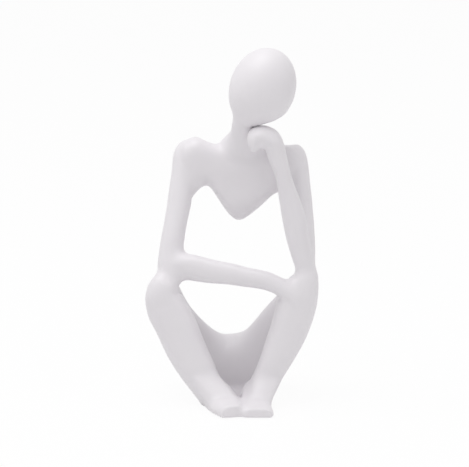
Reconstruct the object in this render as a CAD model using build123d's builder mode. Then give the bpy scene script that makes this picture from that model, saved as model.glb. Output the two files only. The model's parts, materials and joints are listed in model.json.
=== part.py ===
from build123d import *

import os
from math import cos, pi, sin, sqrt

# Abstract seated thinker, cast in resin as separate limbs that are glued up on steel pins.
# The figure faces -Y and sits on z = 0. The figure's own right side lies towards -X.
# Heights are above the table, "side" is the distance from the middle plane x = 0, and
# "ahead" is the distance in front of the plane y = 0. Lengths are millimetres.

os.makedirs("parts", exist_ok=True)

# Anti-slip pads under the seat and the soles
pad_thickness = 0.4
seat_pad_width = 18.0
seat_pad_depth = 9.0
sole_pad_length = 17.0
sole_pad_width = 5.0

# Main levels and the middle of the chin
shoulder_height = 92.0
elbow_height = 50.0
chin_side = 6.1
chin_ahead = 6.0
chin_rise = 8.6

# Head, and the neck under it: rises and drops are from the shoulder line
head_length = 29.6
head_width = 23.1
crown_lean = 9.1
neck_width = 10.6
neck_depth = 11.0
neck_foot_side = 4.4
neck_foot_behind = 6.0
neck_foot_drop = 2.0
neck_top_side = 5.4
neck_top_ahead = 6.0
neck_top_rise = 14.0
neck_seam_rise = 5.0

# Trunk
trunk_width = 46.6
trunk_right_side = 20.4
chest_height = 27.0
chest_depth = 12.6
trunk_behind = 6.0

# Upper arms: the insets are from the trunk's ends, the drops from the shoulder line
arm_width = 8.4
arm_depth = 9.4
arm_top_inset = 3.8
arm_top_behind = 6.2
right_arm_top_drop = 3.5
left_arm_top_drop = 4.5
shoulder_seam_drop = 19.6

# Elbows: how far in from the knees they stand
elbow_ahead = 5.0
right_elbow_inset = 3.4

# Right forearm, laid across to the left knee: the drop is from the elbow
right_wrist_side = 13.6
right_wrist_ahead = 9.8
right_wrist_drop = 4.6
right_forearm_width = 8.4
right_forearm_depth = 8.6

# Left forearm, raised to the chin, and its fist: the wrist is placed from the chin
left_forearm_width = 8.3
left_forearm_depth = 8.6
left_forearm_inset = 0.6
left_forearm_foot_ahead = 8.0
left_wrist_offset = 10.4
left_wrist_advance = 5.6
left_wrist_drop = 10.0
fist_width = 7.2
fist_depth = 10.0
fist_reach = 9.0
fist_height = 9.0

# Legs and feet: the knees' drop is from the elbows
right_knee_side = 25.6
left_knee_side = 26.5
knee_ahead = 7.6
knee_drop = 3.0
right_ankle_side = 8.8
left_ankle_side = 10.6
ankle_ahead = 7.6
ankle_height = 7.0
shin_width = 14.4
shin_depth = 12.0
right_heel_side = 7.4
left_heel_side = 8.8
heel_ahead = 3.4
right_toe_side = 0.2
left_toe_side = 8.6
toe_ahead = 25.9
foot_width = 11.4
foot_height = 9.0
feet_seam_side = 3.4

# Seat: the pelvis with both thighs, its round underside sunk into the pad and then cut flat
pelvis_height = 22.6
pelvis_depth = 20.0
pelvis_behind = 16.3
pelvis_sink = 2.3
knee_seam_ahead = 1.0
knee_pin_inset = 1.2
knee_pin_drop = 7.4

# Glue-up pins
pin_diameter = 2.0
pin_length = 10.0
fine_pin_diameter = 1.5
fine_pin_length = 7.0
pin_clearance = 0.1

# Directions
forward = Vector(0, -1, 0)
backward = Vector(0, 1, 0)
upward = Vector(0, 0, 1)
leftward = Vector(1, 0, 0)

# A closed section's points as shares of its half sizes, at the eight compass points from X round to Y
oval_shares = (1, 0.707, 1, 0.707, 1, 0.707, 1, 0.707)
slab_shares = (1, 0.76, 1, 0.73, 1, 0.73, 1, 0.76)
ridge_shares = (1, 0.79, 0.96, 0.70, 1, 0.69, 1, 0.69)
inner_ridge_shares = (1, 0.70, 0.97, 0.79, 1, 0.70, 1, 0.69)
trunk_section_shares = (1, 0.84, 1, 0.74, 1, 0.73, 1, 0.78)
pelvis_shares = (1, 0.70, 1, 0.75, 1, 0.86, 1, 0.76)

# Rows of shares down each limb: along, aside, toward, width, depth
neck_shares = (
    (-0.24, 0.00, 0.24, 1.80, 0.90),
    (0.00, 0.00, 0.05, 1.90, 1.05),
    (0.15, 0.00, 0.0, 1.66, 1.10),
    (0.28, 0.00, 0.0, 1.32, 1.08),
    (0.42, 0.00, 0.0, 1.08, 1.03),
    (0.60, 0.00, 0.0, 0.98, 1.00),
    (0.85, 0.00, 0.0, 0.95, 1.00),
    (1.00, 0.00, 0.0, 0.90, 0.95),
)
right_upper_arm_shares = (
    (-0.12, 0.10, 0.0, 0.40, 0.50),
    (-0.09, 0.05, 0.0, 0.72, 0.80),
    (-0.03, 0.00, 0.0, 0.96, 1.00),
    (0.10, 0.00, 0.0, 1.00, 1.06),
    (0.24, 0.00, 0.0, 0.98, 1.04),
    (0.38, 0.02, 0.0, 1.02, 1.00),
    (0.52, 0.00, 0.0, 0.98, 0.97),
    (0.75, -0.04, 0.0, 0.99, 0.97),
    (0.88, -0.02, 0.0, 1.05, 1.00),
    (0.98, 0.02, 0.0, 1.10, 1.02),
    (1.10, 0.05, 0.0, 1.10, 1.00),
    (1.22, 0.05, 0.0, 0.90, 0.85),
)
left_upper_arm_shares = (
    (-0.12, 0.00, 0.0, 0.40, 0.50),
    (-0.09, 0.00, 0.0, 0.72, 0.80),
    (-0.03, 0.00, 0.0, 0.96, 1.00),
    (0.10, 0.05, 0.0, 0.99, 1.06),
    (0.24, 0.06, 0.0, 0.96, 1.04),
    (0.38, 0.06, 0.0, 0.97, 1.00),
    (0.55, 0.04, 0.0, 0.98, 0.97),
    (0.75, 0.02, 0.0, 0.97, 0.94),
    (0.90, -0.01, 0.0, 0.86, 0.90),
    (1.00, -0.03, 0.0, 0.82, 0.88),
    (1.10, -0.03, 0.0, 0.86, 0.88),
)
right_forearm_shares = (
    (-0.02, 0.08, 0.0, 1.00, 0.90),
    (0.06, 0.10, 0.0, 1.12, 1.05),
    (0.16, 0.15, 0.0, 1.15, 1.06),
    (0.31, 0.14, 0.0, 1.09, 1.03),
    (0.50, 0.13, 0.0, 0.97, 1.00),
    (0.68, 0.13, 0.0, 0.88, 0.98),
    (0.85, 0.11, 0.0, 0.81, 0.96),
    (0.97, 0.08, 0.0, 0.78, 0.96),
    (1.08, -0.04, 0.0, 0.76, 0.98),
    (1.20, -0.28, 0.0, 0.78, 0.98),
    (1.32, -0.54, 0.0, 0.70, 0.86),
)
left_forearm_shares = (
    (-0.10, 0.00, 0.0, 0.80, 0.90),
    (0.02, 0.00, 0.0, 0.76, 0.90),
    (0.15, 0.00, 0.0, 0.86, 0.97),
    (0.31, -0.02, 0.0, 0.98, 1.02),
    (0.46, -0.05, 0.0, 1.00, 1.03),
    (0.60, -0.05, 0.0, 0.91, 1.00),
    (0.74, -0.03, 0.0, 0.75, 0.96),
    (0.87, -0.02, 0.0, 0.66, 0.98),
)
right_shin_shares = (
    (-0.05, 0.25, -0.08, 0.32, 0.74),
    (-0.015, 0.18, -0.07, 0.38, 0.86),
    (0.025, 0.10, -0.05, 0.55, 0.95),
    (0.065, 0.02, -0.03, 0.68, 1.01),
    (0.11, -0.08, 0.0, 0.77, 1.05),
    (0.17, -0.135, 0.0, 0.89, 1.07),
    (0.24, -0.15, 0.0, 0.98, 1.08),
    (0.38, -0.12, 0.0, 1.02, 1.06),
    (0.55, -0.12, 0.0, 1.00, 1.02),
    (0.72, -0.10, 0.0, 0.95, 1.00),
    (0.88, -0.05, 0.0, 0.86, 0.98),
    (1.02, 0.00, 0.0, 0.76, 0.95),
    (1.16, 0.02, 0.0, 0.66, 0.90),
)
left_shin_shares = (
    (-0.20, -0.24, -0.11, 0.50, 0.88),
    (-0.08, -0.08, -0.10, 0.50, 0.92),
    (0.00, 0.00, -0.05, 0.61, 1.00),
    (0.12, -0.005, 0.0, 0.90, 1.08),
    (0.23, 0.02, 0.0, 1.00, 1.08),
    (0.35, 0.07, 0.0, 0.98, 1.06),
    (0.50, 0.10, 0.0, 0.93, 1.02),
    (0.65, 0.09, 0.0, 0.85, 1.00),
    (0.79, 0.07, 0.0, 0.75, 0.98),
    (0.91, 0.04, 0.0, 0.69, 0.96),
    (1.02, 0.01, 0.0, 0.68, 0.94),
    (1.16, 0.00, 0.0, 0.68, 0.90),
)
# On the feet, toward is upward: a share of the foot height
right_foot_shares = (
    (-0.10, 0.04, 0.30, 0.50, 0.90),
    (0.00, 0.00, 0.36, 0.84, 1.20),
    (0.20, 0.02, 0.34, 1.00, 1.24),
    (0.42, 0.04, 0.28, 1.06, 1.02),
    (0.65, 0.06, 0.24, 1.06, 0.82),
    (0.84, 0.07, 0.24, 0.96, 0.72),
    (0.94, 0.07, 0.23, 0.84, 0.66),
    (1.00, 0.06, 0.22, 0.70, 0.58),
)
left_foot_shares = (
    (-0.10, 0.00, 0.30, 0.50, 0.90),
    (0.00, 0.00, 0.36, 0.80, 1.20),
    (0.20, -0.02, 0.34, 0.94, 1.20),
    (0.45, -0.02, 0.26, 0.98, 0.98),
    (0.70, -0.01, 0.20, 1.00, 0.74),
    (0.90, 0.01, 0.18, 1.06, 0.58),
    (1.00, 0.01, 0.17, 0.96, 0.46),
)
# The seat's path from the right knee round the pelvis to the left knee: shares of the knee's side, of
# the pelvis setback and of the climb from the pelvis to the knee, then of the pelvis depth and height
seat_shares = (
    (-0.98, -0.42, 0.88, 0.49, 0.40),
    (-0.96, -0.12, 0.81, 0.58, 0.53),
    (-0.87, 0.20, 0.61, 0.61, 0.585),
    (-0.75, 0.47, 0.43, 0.67, 0.64),
    (-0.61, 0.72, 0.26, 0.76, 0.73),
    (-0.41, 0.91, 0.095, 0.90, 0.83),
    (-0.18, 0.99, 0.01, 1.00, 0.90),
    (0.04, 1.00, 0.00, 1.00, 0.92),
    (0.26, 0.96, 0.055, 0.96, 0.88),
    (0.47, 0.83, 0.19, 0.85, 0.79),
    (0.62, 0.64, 0.38, 0.72, 0.70),
    (0.75, 0.42, 0.55, 0.65, 0.62),
    (0.87, 0.16, 0.70, 0.61, 0.565),
    (0.944, -0.12, 0.84, 0.58, 0.53),
    (0.974, -0.42, 0.91, 0.49, 0.40),
)
# Trunk sections from the right shoulder to the left: along the width, then top and foot as shares of
# the chest height from the shoulder line, then the depth
trunk_shares = (
    (0.04, -0.05, -0.46, 0.70),
    (0.065, 0.05, -0.66, 0.88),
    (0.10, 0.09, -0.73, 0.97),
    (0.15, 0.12, -0.66, 1.00),
    (0.20, 0.10, -0.56, 1.00),
    (0.247, 0.06, -0.525, 1.00),
    (0.295, 0.03, -0.61, 1.00),
    (0.35, 0.01, -0.76, 1.00),
    (0.41, 0.00, -0.91, 0.98),
    (0.48, 0.00, -1.00, 0.96),
    (0.575, 0.00, -0.93, 0.97),
    (0.67, 0.00, -0.79, 0.98),
    (0.745, 0.00, -0.67, 1.00),
    (0.82, 0.01, -0.61, 1.00),
    (0.88, 0.01, -0.63, 0.98),
    (0.925, -0.02, -0.60, 0.90),
    (0.955, -0.10, -0.50, 0.70),
)
# The fist from the wrist over the knuckles to the fingertips: reach to the right and rise above the
# wrist as shares, the direction the hand runs there as side and rise, then width and depth
fist_shares = (
    (0.14, 0.40, -0.50, 0.87, 0.94, 0.94),
    (0.28, 0.72, -0.81, 0.59, 1.00, 1.00),
    (0.50, 0.87, -0.93, 0.37, 1.00, 1.00),
    (0.74, 0.92, -1.00, 0.00, 0.96, 1.00),
    (0.92, 0.82, -0.75, -0.66, 0.90, 0.98),
    (0.99, 0.62, -0.30, -0.95, 0.68, 0.90),
    (0.98, 0.44, 0.00, -1.00, 0.50, 0.74),
    (0.96, 0.34, 0.10, -1.00, 0.24, 0.44),
)
# The egg: how much fuller its top is than its chin
egg_taper_share = 0.02
# Seams: how far each lies past its joint point as a share of the piece cut there, and which way it faces
elbow_seam_drop_share = 0.45
elbow_seam_facing_shares = (0.53, 0, 0.85)
hand_seam_reach_share = 0.44
hand_seam_facing_shares = (0.95, 0, -0.31)
chin_seam_rise_share = 0.045
chin_seam_facing_shares = (-0.27, 0, 0.96)
# Pins in the upper arms: their lengths as shares of the drop from the shoulder line to the elbow
shoulder_pin_length_share = 0.22
elbow_pin_length_share = 0.16
# Fine pins: how far each stands off its joint point as a share of the piece that it holds
chin_pin_reach_share = 0.76
chin_pin_setback_share = 0.20
elbow_pin_setback_share = 0.17
forearm_pin_advance_share = 0.10


def section(plane, width, depth, shares):
    """Draw one closed soft section, width along the plane's X and depth along its Y."""
    compass = ((1, 0), (1, 1), (0, 1), (-1, 1), (-1, 0), (-1, -1), (0, -1), (1, -1))
    points = [(x * share * width / 2, y * share * depth / 2) for (x, y), share in zip(compass, shares)]
    with BuildSketch(plane) as outline:
        with BuildLine():
            Spline(*points, periodic=True)
        make_face()
    return outline.sketch


def square_planes(centres, facing):
    """Set a plane square to the path at each centre, its Y turned as near as can be to facing."""
    planes = []
    for place, centre in enumerate(centres):
        before = centres[max(place - 1, 0)]
        after = centres[min(place + 1, len(centres) - 1)]
        tangent = (after - before).normalized()
        planes.append(Plane(origin=centre, x_dir=facing.cross(tangent), z_dir=tangent))
    return planes


def limb_sections(start, finish, width, depth, rows, facing, shares):
    """Draw a limb's sections from its rows of shares.

    Along runs from start to finish, aside is square to it, and toward is a share of the depth in
    the facing direction.
    """
    run = finish - start
    aside = facing.cross(run).normalized()
    centres = [
        start + run * along + aside * (sideways * width) + facing * (toward * depth)
        for along, sideways, toward, _, _ in rows
    ]
    planes = square_planes(centres, facing)
    return [section(plane, width * row[3], depth * row[4], shares) for plane, row in zip(planes, rows)]


# Joint points
chin = Vector(chin_side, -chin_ahead, shoulder_height + chin_rise)
neck_foot = Vector(neck_foot_side, neck_foot_behind, shoulder_height - neck_foot_drop)
neck_top = Vector(neck_top_side, -neck_top_ahead, shoulder_height + neck_top_rise)
trunk_left_side = trunk_width - trunk_right_side
right_arm_top = Vector(
    arm_top_inset - trunk_right_side, arm_top_behind, shoulder_height - right_arm_top_drop
)
left_arm_top = Vector(
    trunk_left_side - arm_top_inset, arm_top_behind, shoulder_height - left_arm_top_drop
)
knee_height = elbow_height - knee_drop
right_knee = Vector(-right_knee_side, -knee_ahead, knee_height)
left_knee = Vector(left_knee_side, -knee_ahead, knee_height)
right_elbow = Vector(right_elbow_inset - right_knee_side, -elbow_ahead, elbow_height)
left_elbow = Vector(left_knee_side, -elbow_ahead, elbow_height)
right_wrist = Vector(right_wrist_side, -right_wrist_ahead, elbow_height - right_wrist_drop)
left_forearm_foot = Vector(left_knee_side - left_forearm_inset, -left_forearm_foot_ahead, elbow_height)
left_wrist = chin + Vector(left_wrist_offset, -left_wrist_advance, -left_wrist_drop)
right_ankle = Vector(-right_ankle_side, -ankle_ahead, ankle_height)
left_ankle = Vector(left_ankle_side, -ankle_ahead, ankle_height)
right_heel = Vector(-right_heel_side, -heel_ahead, 0)
left_heel = Vector(left_heel_side, -heel_ahead, 0)
right_toe = Vector(-right_toe_side, -toe_ahead, 0)
left_toe = Vector(left_toe_side, -toe_ahead, 0)
pelvis_centre_height = pad_thickness + pelvis_height / 2 - pelvis_sink


def point_at_height(start, finish, height):
    """Find where the straight line through two joint points passes a height."""
    return start + (finish - start) * ((height - start.Z) / (finish.Z - start.Z))


# Seam planes, each normal pointing into the piece named first
table_plane = Plane.XY.offset(pad_thickness)
neck_seam = Plane(
    origin=point_at_height(neck_foot, neck_top, shoulder_height + neck_seam_rise),
    z_dir=neck_top - neck_foot,
)
shoulder_seam_height = shoulder_height - shoulder_seam_drop
right_shoulder_seam = Plane(
    origin=point_at_height(right_arm_top, right_elbow, shoulder_seam_height),
    z_dir=right_arm_top - right_elbow,
)
left_shoulder_seam = Plane(
    origin=point_at_height(left_arm_top, left_elbow, shoulder_seam_height),
    z_dir=left_arm_top - left_elbow,
)
right_elbow_seam = Plane(
    origin=right_elbow - upward * (arm_width * elbow_seam_drop_share),
    z_dir=elbow_seam_facing_shares,
)
left_elbow_seam = Plane.XY.offset(elbow_height)
left_crook_seam = Plane(
    origin=(left_elbow + left_forearm_foot) / 2,
    z_dir=(left_arm_top - left_elbow).normalized() - (left_wrist - left_forearm_foot).normalized(),
)
hand_seam = Plane(
    origin=right_wrist + leftward * (right_forearm_width * hand_seam_reach_share),
    z_dir=hand_seam_facing_shares,
)
chin_seam = Plane(
    origin=chin + upward * (head_length * chin_seam_rise_share),
    z_dir=chin_seam_facing_shares,
)
knee_seam = Plane(origin=forward * knee_seam_ahead, z_dir=backward)
feet_seam = Plane(origin=leftward * feet_seam_side, z_dir=leftward)

# Limb forms, each drawn whole and cut at the seams afterwards
with BuildPart() as neck_form:
    loft(
        sections=limb_sections(
            neck_foot, neck_top, neck_width, neck_depth, neck_shares, forward, oval_shares
        )
    )

with BuildPart() as right_upper_arm_form:
    loft(
        sections=limb_sections(
            right_arm_top, right_elbow, arm_width, arm_depth, right_upper_arm_shares, forward, oval_shares
        )
    )

with BuildPart() as left_upper_arm_form:
    loft(
        sections=limb_sections(
            left_arm_top, left_elbow, arm_width, arm_depth, left_upper_arm_shares, forward, oval_shares
        )
    )

with BuildPart() as right_forearm_form:
    loft(
        sections=limb_sections(
            right_elbow,
            right_wrist,
            right_forearm_width,
            right_forearm_depth,
            right_forearm_shares,
            forward,
            ridge_shares,
        )
    )

fist_centres = [
    left_wrist - leftward * (reach * fist_reach) + upward * (rise * fist_height)
    for reach, rise, _, _, _, _ in fist_shares
]
fist_planes = [
    Plane(origin=centre, x_dir=forward.cross(Vector(side, 0, lift)), z_dir=(side, 0, lift))
    for centre, (_, _, side, lift, _, _) in zip(fist_centres, fist_shares)
]
fist_sections = [
    section(plane, fist_width * row[4], fist_depth * row[5], oval_shares)
    for plane, row in zip(fist_planes, fist_shares)
]

with BuildPart() as left_forearm_form:
    loft(
        sections=limb_sections(
            left_forearm_foot,
            left_wrist,
            left_forearm_width,
            left_forearm_depth,
            left_forearm_shares,
            forward,
            oval_shares,
        )
        + fist_sections
    )

with BuildPart() as right_leg_form:
    loft(
        sections=limb_sections(
            right_knee, right_ankle, shin_width, shin_depth, right_shin_shares, forward, inner_ridge_shares
        )
    )
    loft(
        sections=limb_sections(
            right_heel, right_toe, foot_width, foot_height, right_foot_shares, upward, slab_shares
        )
    )

with BuildPart() as left_leg_form:
    loft(
        sections=limb_sections(
            left_knee, left_ankle, shin_width, shin_depth, left_shin_shares, forward, inner_ridge_shares
        )
    )
    loft(
        sections=limb_sections(
            left_heel, left_toe, foot_width, foot_height, left_foot_shares, upward, slab_shares
        )
    )

seat_centres = [
    Vector(
        side * (right_knee_side if side < 0 else left_knee_side),
        behind * pelvis_behind,
        pelvis_centre_height + climb * (knee_height - pelvis_centre_height),
    )
    for side, behind, climb, _, _ in seat_shares
]
with BuildPart() as seat_form:
    loft(
        sections=[
            section(plane, pelvis_depth * row[3], pelvis_height * row[4], pelvis_shares)
            for plane, row in zip(square_planes(seat_centres, upward), seat_shares)
        ]
    )

trunk_centres = [
    Vector(
        along * trunk_width - trunk_right_side,
        trunk_behind,
        shoulder_height + chest_height * (top + foot) / 2,
    )
    for along, top, foot, _ in trunk_shares
]
with BuildPart() as trunk_form:
    loft(
        sections=[
            section(
                Plane(origin=centre, x_dir=upward, z_dir=leftward),
                chest_height * (top - foot),
                chest_depth * deep,
                trunk_section_shares,
            )
            for centre, (_, top, foot, deep) in zip(trunk_centres, trunk_shares)
        ]
    )

# Glue-up pins: the plane across the middle of each, its diameter and its length
upper_arm_drop = shoulder_height - elbow_height
full_pin = (pin_diameter, pin_length)
fine_pin = (fine_pin_diameter, fine_pin_length)
shoulder_pin = (pin_diameter, upper_arm_drop * shoulder_pin_length_share)
elbow_pin = (fine_pin_diameter, upper_arm_drop * elbow_pin_length_share)
over_the_fist = left_wrist + Vector(
    -fist_reach * chin_pin_reach_share, fist_depth * chin_pin_setback_share, left_wrist_drop
)
seam_offset = (over_the_fist - chin_seam.origin).dot(chin_seam.z_dir)
chin_pin_centre = over_the_fist - chin_seam.z_dir * seam_offset
left_elbow_pin_centre = left_elbow + backward * (arm_depth * elbow_pin_setback_share)
left_forearm_pin_centre = left_forearm_foot + forward * (left_forearm_depth * forearm_pin_advance_share)
knee_pin_height = knee_height - knee_pin_drop
right_knee_pin_centre = Vector(knee_pin_inset - right_knee_side, -knee_seam_ahead, knee_pin_height)
left_knee_pin_centre = Vector(left_knee_side - knee_pin_inset, -knee_seam_ahead, knee_pin_height)
pins = {
    "neck_pin": (neck_seam, full_pin),
    "right_shoulder_pin": (right_shoulder_seam, shoulder_pin),
    "left_shoulder_pin": (left_shoulder_seam, shoulder_pin),
    "right_elbow_pin": (right_elbow_seam, full_pin),
    "left_elbow_pin": (Plane(left_elbow_pin_centre), elbow_pin),
    "left_forearm_pin": (Plane(left_forearm_pin_centre), fine_pin),
    "hand_pin": (hand_seam, fine_pin),
    "chin_pin": (Plane(origin=chin_pin_centre, z_dir=chin_seam.z_dir), fine_pin),
    "right_knee_pin": (Plane(origin=right_knee_pin_centre, z_dir=backward), full_pin),
    "left_knee_pin": (Plane(origin=left_knee_pin_centre, z_dir=backward), full_pin),
}


def drill(*names):
    """Cut the bores of the named pins out of the casting being made."""
    for name in names:
        plane, (diameter, length) = pins[name]
        with Locations(plane):
            Cylinder(diameter / 2 + pin_clearance, length + 2 * pin_clearance, mode=Mode.SUBTRACT)


# Head: an egg turned about an axis that leans to the left, with the top of the neck
crown = chin + Vector(crown_lean, 0, sqrt(head_length**2 - crown_lean**2))
head_axis = (crown - chin).normalized()
head_plane = Plane(origin=chin, x_dir=head_axis.cross(forward), z_dir=forward)
egg_steps = 24
egg_angles = [2 * pi * step / egg_steps for step in range(egg_steps)]
egg_points = [
    (head_width / 2 * sin(angle) * (1 - egg_taper_share * cos(angle)), head_length / 2 * (1 - cos(angle)))
    for angle in egg_angles
]

with BuildPart() as head:
    with BuildSketch(head_plane):
        with BuildLine():
            Spline(*egg_points, periodic=True)
        make_face()
        Rectangle(head_width, head_length, align=(Align.MIN, Align.MIN), mode=Mode.INTERSECT)
    revolve(axis=Axis(origin=chin, direction=head_axis))
    split(bisect_by=chin_seam, keep=Keep.TOP)
    add(split(neck_form.part, bisect_by=neck_seam, keep=Keep.TOP, mode=Mode.PRIVATE))
    drill("neck_pin", "chin_pin")

# Trunk with the stubs of the neck and of both upper arms
with BuildPart() as torso:
    add(trunk_form.part)
    add(split(neck_form.part, bisect_by=neck_seam, keep=Keep.BOTTOM, mode=Mode.PRIVATE))
    add(split(right_upper_arm_form.part, bisect_by=right_shoulder_seam, keep=Keep.TOP, mode=Mode.PRIVATE))
    add(split(left_upper_arm_form.part, bisect_by=left_shoulder_seam, keep=Keep.TOP, mode=Mode.PRIVATE))
    drill("neck_pin", "right_shoulder_pin", "left_shoulder_pin")

# Right arm, from the shoulder seam down to the knee and across to the other knee
with BuildPart() as right_arm:
    add(right_upper_arm_form.part)
    split(bisect_by=right_shoulder_seam, keep=Keep.BOTTOM)
    add(right_forearm_form.part)
    split(bisect_by=right_elbow_seam, keep=Keep.TOP)
    split(bisect_by=hand_seam, keep=Keep.BOTTOM)
    drill("right_shoulder_pin", "right_elbow_pin", "hand_pin")

# Left upper arm, from the shoulder seam down to the knee
with BuildPart() as left_upper_arm:
    add(left_upper_arm_form.part)
    split(bisect_by=left_shoulder_seam, keep=Keep.BOTTOM)
    split(bisect_by=left_elbow_seam, keep=Keep.TOP)
    split(bisect_by=left_crook_seam, keep=Keep.TOP)
    drill("left_shoulder_pin", "left_elbow_pin")

# Left forearm with the fist under the chin
with BuildPart() as left_forearm:
    add(left_forearm_form.part)
    split(bisect_by=left_elbow_seam, keep=Keep.TOP)
    split(bisect_by=left_crook_seam, keep=Keep.BOTTOM)
    split(bisect_by=chin_seam, keep=Keep.BOTTOM)
    drill("left_forearm_pin", "chin_pin")

# Seat: the pelvis and both thighs behind the knee seam
with BuildPart() as seat:
    add(seat_form.part)
    split(bisect_by=knee_seam, keep=Keep.TOP)
    split(bisect_by=table_plane, keep=Keep.TOP)
    drill("right_knee_pin", "left_knee_pin")

# Each leg carries the knee in front of the knee seam, and the left knee the root of the hand on it
with BuildPart() as right_leg:
    add(right_leg_form.part)
    add(seat_form.part)
    split(bisect_by=knee_seam, keep=Keep.BOTTOM)
    split(bisect_by=feet_seam, keep=Keep.BOTTOM)
    split(bisect_by=right_elbow_seam, keep=Keep.BOTTOM)
    split(bisect_by=table_plane, keep=Keep.TOP)
    drill("right_elbow_pin", "right_knee_pin")

with BuildPart() as left_leg:
    add(left_leg_form.part)
    add(split(right_forearm_form.part, bisect_by=hand_seam, keep=Keep.TOP, mode=Mode.PRIVATE))
    add(seat_form.part)
    split(bisect_by=knee_seam, keep=Keep.BOTTOM)
    split(bisect_by=feet_seam, keep=Keep.TOP)
    split(bisect_by=left_elbow_seam, keep=Keep.BOTTOM)
    split(bisect_by=table_plane, keep=Keep.TOP)
    drill("left_elbow_pin", "left_forearm_pin", "hand_pin", "left_knee_pin")

castings = {
    "head": head,
    "torso": torso,
    "right_arm": right_arm,
    "left_upper_arm": left_upper_arm,
    "left_forearm": left_forearm,
    "seat": seat,
    "right_leg": right_leg,
    "left_leg": left_leg,
}
for name, piece in castings.items():
    piece.part.label = name
    export_step(piece.part, f"parts/{name}.step")

for name, (plane, (diameter, length)) in pins.items():
    with BuildPart() as pin:
        with Locations(plane):
            Cylinder(diameter / 2, length)
    pin.part.label = name
    export_step(pin.part, f"parts/{name}.step")

# Pads
with BuildPart() as seat_pad:
    with BuildSketch(Plane(origin=backward * pelvis_behind)):
        Ellipse(seat_pad_width / 2, seat_pad_depth / 2)
    extrude(amount=pad_thickness)
seat_pad.part.label = "seat_pad"
export_step(seat_pad.part, "parts/seat_pad.step")

for name, heel, toe in (("right_sole_pad", right_heel, right_toe), ("left_sole_pad", left_heel, left_toe)):
    with BuildPart() as sole_pad:
        with BuildSketch(Plane(origin=(heel + toe) / 2, x_dir=toe - heel)):
            SlotOverall(sole_pad_length, sole_pad_width)
        extrude(amount=pad_thickness)
    sole_pad.part.label = name
    export_step(sole_pad.part, f"parts/{name}.step")
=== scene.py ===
"""Dresses the seated thinker: a painted resin skin cut into its castings, steel pins, foam pads.

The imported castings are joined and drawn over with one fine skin, which is rounded out where limbs
grow out of one another and then cut again at the glue seams. So the paint runs unbroken across
every seam, as it does on the real figure, and each casting is still a closed piece of its own with
its pin bores.
"""
import json
import logging
import math
from collections.abc import Callable, Iterable, Iterator
from contextlib import contextmanager
from dataclasses import dataclass
from enum import Enum

import bmesh
import bpy
import numpy as np
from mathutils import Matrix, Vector
from mathutils.bvhtree import BVHTree

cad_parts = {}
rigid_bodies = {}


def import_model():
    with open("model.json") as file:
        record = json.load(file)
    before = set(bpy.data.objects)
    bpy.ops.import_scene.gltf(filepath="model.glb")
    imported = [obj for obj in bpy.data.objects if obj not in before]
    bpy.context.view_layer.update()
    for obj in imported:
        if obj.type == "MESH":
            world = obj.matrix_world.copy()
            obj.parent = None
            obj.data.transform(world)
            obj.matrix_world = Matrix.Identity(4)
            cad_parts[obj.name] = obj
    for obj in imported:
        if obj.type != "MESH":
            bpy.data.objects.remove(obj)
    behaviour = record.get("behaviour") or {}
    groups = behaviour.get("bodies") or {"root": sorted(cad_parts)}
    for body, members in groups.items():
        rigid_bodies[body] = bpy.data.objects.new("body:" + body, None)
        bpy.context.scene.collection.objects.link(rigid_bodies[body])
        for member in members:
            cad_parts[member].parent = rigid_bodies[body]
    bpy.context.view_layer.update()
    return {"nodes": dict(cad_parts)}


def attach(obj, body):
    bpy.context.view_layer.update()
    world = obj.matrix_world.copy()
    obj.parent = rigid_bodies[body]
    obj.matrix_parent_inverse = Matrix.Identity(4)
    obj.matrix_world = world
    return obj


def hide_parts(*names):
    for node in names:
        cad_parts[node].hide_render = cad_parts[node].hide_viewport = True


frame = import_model()

log = logging.getLogger("thinker")

MM = 0.001
BODY = "root"
AXES = (Vector((1, 0, 0)), Vector((0, 1, 0)), Vector((0, 0, 1)))

# The skin's attribute that tells the paint of its hollows, where it paints shade, and the group
# that softens them.
HOLLOW = "hollow"
# Points that lie closer than this are one point.
WELD = 0.001 * MM
# The radius of a blade that cuts right through the figure, and the thickness of every cut.
WIDE = 60 * MM
THIN = 0.01 * MM
BLADE_SIDES = 48
# How far apart two flats may lie, and how squarely they have to face, to meet in a seam.
LEVEL = 0.02 * MM
OPPOSED = -0.9999
# The smallest triangle that has a direction, in square metres.
SPECK = 1e-12
# An edge that turns by more than this is a rim and stays sharp.
RIM_ANGLE = math.radians(50)

Piece = bpy.types.Object
Element = bmesh.types.BMVert | bmesh.types.BMFace
Place = tuple[float, float, float]
Colour = tuple[float, float, float]


class Slot(Enum):
    """Names for the material slots of the castings and the pads, which no piece is given here."""

    RESIN = "resin"
    PAD = "pad"


class Casting(Enum):
    """The resin castings, by the names of their nodes."""

    HEAD = "head"
    TORSO = "torso"
    RIGHT_ARM = "right_arm"
    LEFT_UPPER_ARM = "left_upper_arm"
    LEFT_FOREARM = "left_forearm"
    SEAT = "seat"
    RIGHT_LEG = "right_leg"
    LEFT_LEG = "left_leg"


# The pins that each casting is bored for.
PIN_HOLDERS = {
    Casting.HEAD: ("neck_pin", "chin_pin"),
    Casting.TORSO: ("neck_pin", "right_shoulder_pin", "left_shoulder_pin"),
    Casting.RIGHT_ARM: ("right_shoulder_pin", "right_elbow_pin", "hand_pin"),
    Casting.LEFT_UPPER_ARM: ("left_shoulder_pin", "left_elbow_pin"),
    Casting.LEFT_FOREARM: ("left_forearm_pin", "chin_pin"),
    Casting.SEAT: ("right_knee_pin", "left_knee_pin"),
    Casting.RIGHT_LEG: ("right_elbow_pin", "right_knee_pin"),
    Casting.LEFT_LEG: ("left_elbow_pin", "left_forearm_pin", "hand_pin", "left_knee_pin"),
}


@dataclass(frozen=True)
class Flat:
    """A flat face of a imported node, or the seam where two such faces meet.

    Attributes:
        middle: its middle.
        normal: its outward direction, and at a seam out of the first casting into the second.
        spread: how far it reaches from its middle.
        area: its area, in square metres.
    """

    middle: Vector
    normal: Vector
    spread: float = 0.0
    area: float = 0.0


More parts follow.
